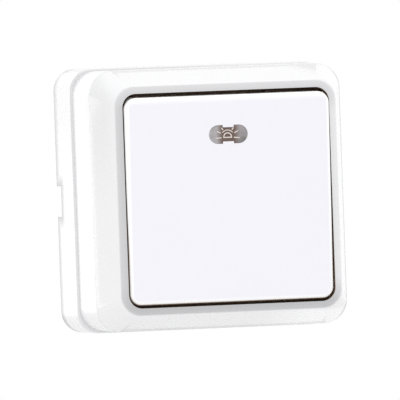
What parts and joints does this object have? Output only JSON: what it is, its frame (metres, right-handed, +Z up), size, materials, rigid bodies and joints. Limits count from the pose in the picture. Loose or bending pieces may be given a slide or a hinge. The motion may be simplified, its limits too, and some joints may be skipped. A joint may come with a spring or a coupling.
{
  "type": "surface mounted light switch",
  "caption": "Square surface mounted light switch: base box, bevelled cover frame and tilting rocker with an indicator window, over a see-saw contact mechanism.",
  "frame": {"origin": "centre of the back face, on the wall plane", "axes": "+Y into the wall, so the front faces -Y; +Z up; +X to the right as seen from the front"},
  "size_m": [0.0654, 0.0434, 0.0654],
  "materials": {
    "white_moulding": "white glossy moulded plastic",
    "rocker_white": "white glossy moulded plastic",
    "clear_lens": "clear moulded plastic, slightly grey",
    "cradle_plastic": "off-white matt moulding",
    "brown_moulding": "dark brown phenolic moulding",
    "steel": "ground steel",
    "spring_steel": "drawn spring wire",
    "zinc_steel": "zinc plated steel",
    "brass": "stamped and turned brass",
    "silver": "silver contact, dull bright",
    "lamp_glass": "clear glass envelope",
    "tinned_wire": "tinned copper wire",
    "resistor_body": "lacquered resistor body"
  },
  "bodies": {
    "housing": {"base_box": "white_moulding", "cover_frame": "white_moulding", "pivot_pin": "steel", "mechanism_body": "brown_moulding", "terminal_base": "brown_moulding", "mechanism_screws": "zinc_steel", "common_terminal": "brass", "switched_terminal": "brass", "fixed_contact": "silver", "common_clamp": "zinc_steel", "switched_clamp": "zinc_steel", "terminal_screws": "zinc_steel", "lamp_holder": "cradle_plastic", "neon_lamp": "lamp_glass", "upper_lamp_lead": "tinned_wire", "lower_lamp_lead": "tinned_wire", "lamp_resistor": "resistor_body", "resistor_lead": "tinned_wire"},
    "rocker": {"rocker_cap": "rocker_white", "indicator_lens": "clear_lens", "rocker_cradle": "cradle_plastic", "plunger_spring": "spring_steel"},
    "plunger_body": {"plunger": "brass"},
    "see_saw": {"contact_bar": "brass", "moving_contact": "silver"}
  },
  "joints": [
    {"name": "rocker_pivot", "type": "hinge", "parent": "housing", "child": "rocker", "pos_m": [0, -0.0357, 0], "axis": [-1, 0, 0], "range_deg": [0, 4]},
    {"name": "plunger_slide", "type": "slide", "parent": "rocker", "child": "plunger_body", "axis": [0, -0.9994, -0.0349], "range_m": [0, 0.001], "stiffness_N_per_m": 900, "springref_m": -0.0015, "deforming": ["plunger_spring"]},
    {"name": "see_saw_pivot", "type": "hinge", "parent": "housing", "child": "see_saw", "pos_m": [0, -0.012, 0], "axis": [1, 0, 0], "range_deg": [0, 16]}
  ],
  "couplings": [
    {"joint": "see_saw_pivot", "follows": "rocker_pivot", "ratio": 4}
  ]
}
